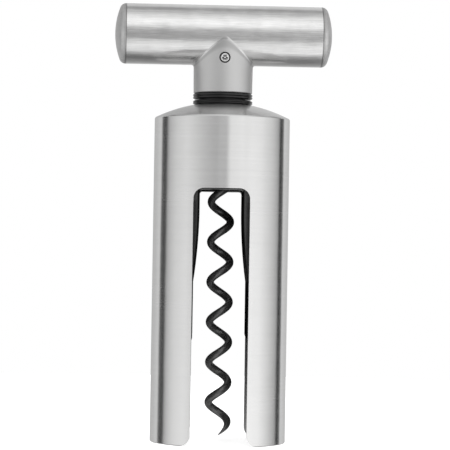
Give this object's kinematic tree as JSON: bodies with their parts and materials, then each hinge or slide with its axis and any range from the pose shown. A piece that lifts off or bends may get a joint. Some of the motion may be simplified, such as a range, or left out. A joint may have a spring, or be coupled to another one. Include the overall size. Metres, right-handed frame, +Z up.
{
  "type": "corkscrew",
  "caption": "Self-pulling bell corkscrew: a T-handle and coated worm turn in a steel bell with open windows that stands on the bottle's neck.",
  "frame": {"origin": "centre of the bell's open foot, on the plane that the two legs stand on", "axes": "+Z up along the worm's axis to the handle, -Y to the front window, X along the handle's bar at rest within a few degrees"},
  "size_m": [0.0802, 0.05, 0.1614],
  "materials": {
    "brushed_steel": "stainless steel, fine circumferential brushing, satin",
    "black_plastic": "black moulded plastic, satin",
    "coated_wire": "black non-stick coat on steel wire, low sheen",
    "turned_steel": "turned steel, bright"
  },
  "bodies": {
    "bell": {"bell_shell": "brushed_steel", "guide_sleeve": "black_plastic", "bell_bush": "black_plastic"},
    "handle": {"thrust_washer": "turned_steel", "neck_bush": "black_plastic", "spindle": "turned_steel", "retaining_ring": "turned_steel", "worm": "coated_wire", "neck_plug": "turned_steel", "handle_shell": "brushed_steel", "left_end_cap": "brushed_steel", "right_end_cap": "brushed_steel", "lock_screw": "turned_steel"}
  },
  "joints": [
    {"name": "handle_turn", "type": "hinge", "parent": "bell", "child": "handle", "pos_m": [0, 0, 0.1266], "axis": [0, 0, 1], "continuous": true}
  ]
}
